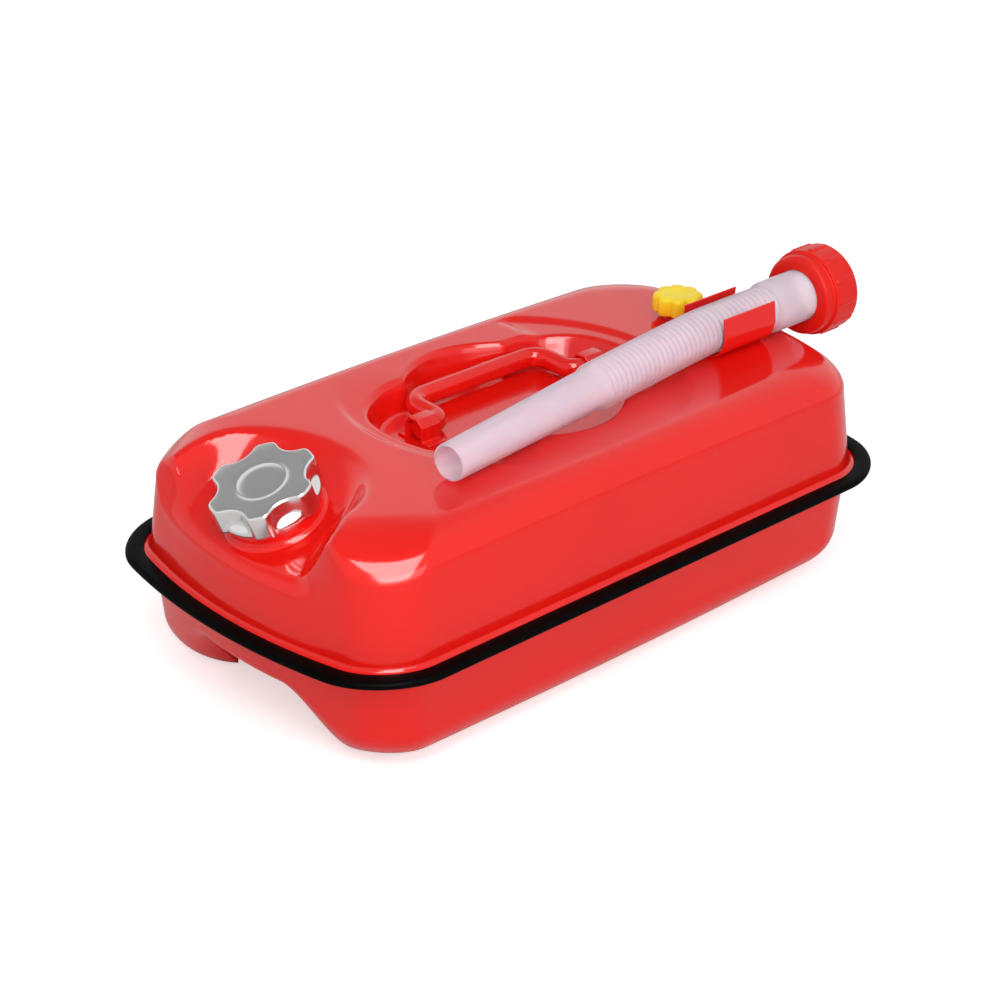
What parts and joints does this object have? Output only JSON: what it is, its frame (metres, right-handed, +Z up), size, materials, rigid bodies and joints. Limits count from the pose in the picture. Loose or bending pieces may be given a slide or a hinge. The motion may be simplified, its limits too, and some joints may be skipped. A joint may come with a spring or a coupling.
{
  "type": "fuel can",
  "caption": "Flat horizontal steel fuel can with a folding handle in a top recess, a slanted screw cap, an air vent knob and a pouring spout held in a clip.",
  "frame": {"origin": "centre of the whole part's bounding box in plan, on the surface that it stands on", "axes": "+Z up, +X along the can from the filler end to the spout nut's end, +Y across the can"},
  "size_m": [0.4696, 0.258, 0.1848],
  "materials": {
    "red_paint": "gloss enamel",
    "black_trim": "glossy",
    "silver_cap": "satin silver lacquer",
    "black_rubber": "matt",
    "milky_plastic": "translucent, smooth",
    "red_plastic": "semi-gloss moulded",
    "yellow_plastic": "semi-gloss moulded"
  },
  "bodies": {
    "can": {"upper_shell": "red_paint", "lower_shell": "red_paint", "edge_trim": "black_trim", "filler_neck": "red_paint", "handle_bracket_front": "red_paint", "handle_bracket_rear": "red_paint", "nozzle_clip": "red_paint", "vent_boss": "red_paint"},
    "handle": {"handle_bail": "red_paint"},
    "cap_lift": {"cap_gasket": "black_rubber"},
    "cap": {"cap_knob": "silver_cap"},
    "vent_lift": {"vent_seal": "black_rubber"},
    "vent": {"vent_knob": "yellow_plastic"},
    "spout": {"nozzle_pipe": "milky_plastic", "nozzle_gasket": "black_rubber"},
    "spout_nut": {"nozzle_nut": "red_plastic"}
  },
  "joints": [
    {"name": "handle_swing", "type": "hinge", "parent": "can", "child": "handle", "pos_m": [0.00875, 0.0185, 0.1289], "axis": [1, 0, 0], "range_deg": [0, 160]},
    {"name": "cap_rise", "type": "slide", "parent": "can", "child": "cap_lift", "axis": [-0.3584, 0, 0.9336], "range_m": [0, 0.008]},
    {"name": "cap_turn", "type": "hinge", "parent": "cap_lift", "child": "cap", "pos_m": [-0.17925, 0.008, 0.116], "axis": [-0.3584, 0, 0.9336], "range_deg": [0, 720]},
    {"name": "vent_rise", "type": "slide", "parent": "can", "child": "vent_lift", "axis": [0, 0, 1], "range_m": [0, 0.003]},
    {"name": "vent_turn", "type": "hinge", "parent": "vent_lift", "child": "vent", "pos_m": [0.15575, 0.017, 0.1396], "axis": [0, 0, 1], "range_deg": [0, 720]},
    {"name": "spout_lift", "type": "slide", "parent": "can", "child": "spout", "axis": [0, 0, 1], "range_m": [0, 0.1]},
    {"name": "nut_spin", "type": "hinge", "parent": "spout", "child": "spout_nut", "pos_m": [0.20675, -0.038, 0.1561], "axis": [1, 0, 0], "continuous": true}
  ],
  "couplings": [
    {"joint": "cap_rise", "follows": "cap_turn", "m_per_rad": 0.00063662},
    {"joint": "vent_rise", "follows": "vent_turn", "m_per_rad": 0.00023873}
  ]
}
